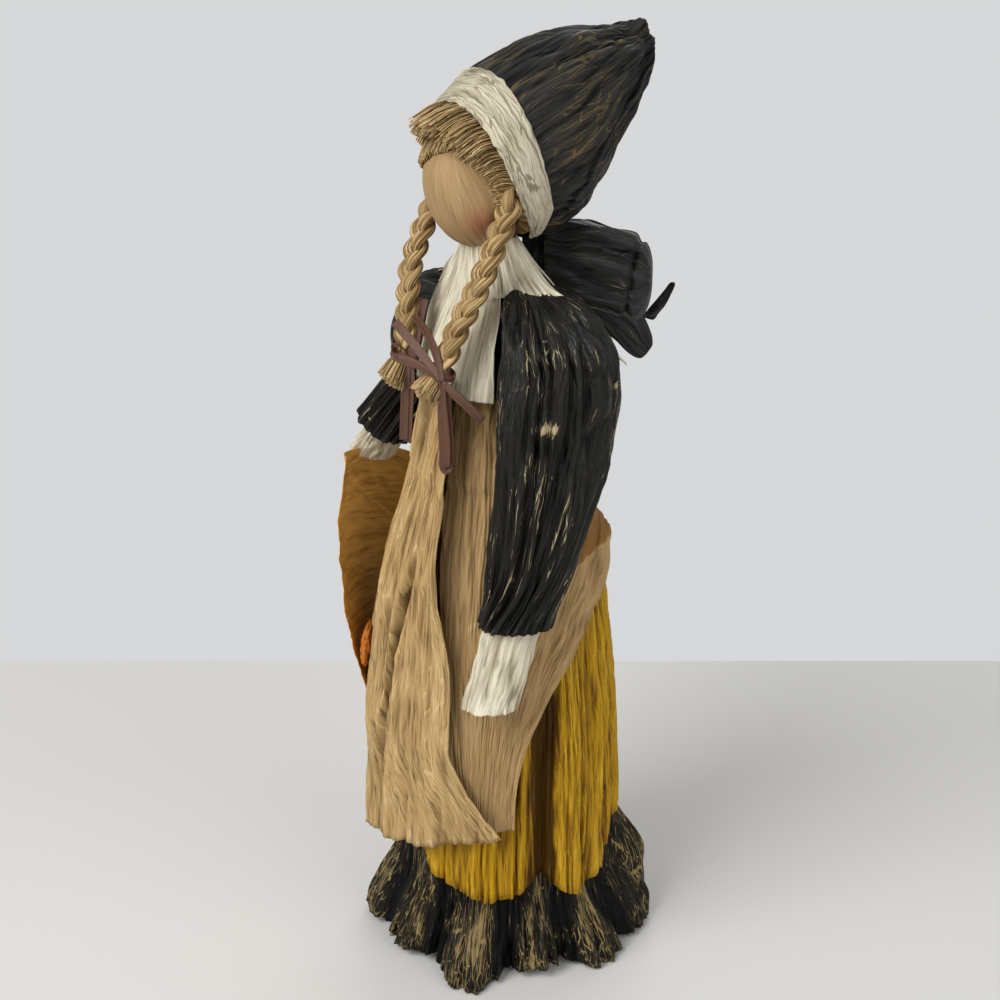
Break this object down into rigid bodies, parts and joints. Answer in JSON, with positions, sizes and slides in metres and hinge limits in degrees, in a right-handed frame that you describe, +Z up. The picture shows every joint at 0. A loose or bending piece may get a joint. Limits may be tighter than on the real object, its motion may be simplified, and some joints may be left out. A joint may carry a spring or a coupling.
{
  "type": "paper twist figurine",
  "caption": "Standing crinkled-paper doll on a foam cone, with a pointed bonnet, plaits, bib collar, apron held up as a pouch, pleated skirt and ruffled petticoat; left arm and plaits move.",
  "frame": {"origin": "centre of the cone's flat foot, on the floor", "axes": "+Z up along the cone, -Y the way the doll faces, +X towards its left hand"},
  "size_m": [0.1317, 0.1379, 0.4057],
  "materials": {
    "foam": "matt",
    "wire": "matt",
    "black_paper": "satin",
    "ivory_paper": "matt",
    "kraft_paper": "matt",
    "mustard_paper": "matt",
    "orange_paper": "matt",
    "skin_paper": "matt",
    "straw": "matt",
    "ribbon": "satin"
  },
  "bodies": {
    "doll": {"foam_cone": "foam", "head_ball": "foam", "neck_wire": "wire", "shoulder_wire": "wire", "neck_tie": "wire", "waist_tie": "wire", "right_arm_wire": "wire", "petticoat": "black_paper", "bodice": "black_paper", "bonnet_crown": "black_paper", "nape_bow_knot": "black_paper", "nape_bow_left_loop": "black_paper", "nape_bow_right_loop": "black_paper", "nape_bow_wide_tail": "black_paper", "nape_bow_thin_tail": "black_paper", "right_sleeve": "black_paper", "bonnet_band": "ivory_paper", "collar_bib": "ivory_paper", "collar_left_flap": "ivory_paper", "collar_right_flap": "ivory_paper", "collar_back": "ivory_paper", "right_cuff": "ivory_paper", "apron_front": "kraft_paper", "apron_left_wrap": "kraft_paper", "apron_lifted": "kraft_paper", "skirt": "mustard_paper", "pouch_filling": "orange_paper", "face_wrap": "skin_paper", "right_hand": "skin_paper", "hair_cap": "straw", "hair_fringe": "straw"},
    "left_arm": {"left_arm_wire": "wire", "left_sleeve": "black_paper", "left_cuff": "ivory_paper", "left_hand": "skin_paper"},
    "left_braid": {"left_braid_strand_1": "straw", "left_braid_strand_2": "straw", "left_braid_strand_3": "straw", "left_braid_tuft": "straw", "left_ribbon_bow": "ribbon"},
    "right_braid": {"right_braid_strand_1": "straw", "right_braid_strand_2": "straw", "right_braid_strand_3": "straw", "right_braid_tuft": "straw", "right_ribbon_bow": "ribbon"}
  },
  "joints": [
    {"name": "left_shoulder", "type": "hinge", "parent": "doll", "child": "left_arm", "pos_m": [0.0289, -0.002, 0.288], "axis": [-1, 0, 0], "range_deg": [0, 40]},
    {"name": "left_braid_root", "type": "hinge", "parent": "doll", "child": "left_braid", "pos_m": [0.0236, -0.012, 0.3434], "axis": [-1, 0, 0], "range_deg": [0, 40]},
    {"name": "right_braid_root", "type": "hinge", "parent": "doll", "child": "right_braid", "pos_m": [-0.0229, -0.0118, 0.3434], "axis": [-1, 0, 0], "range_deg": [0, 40]}
  ]
}
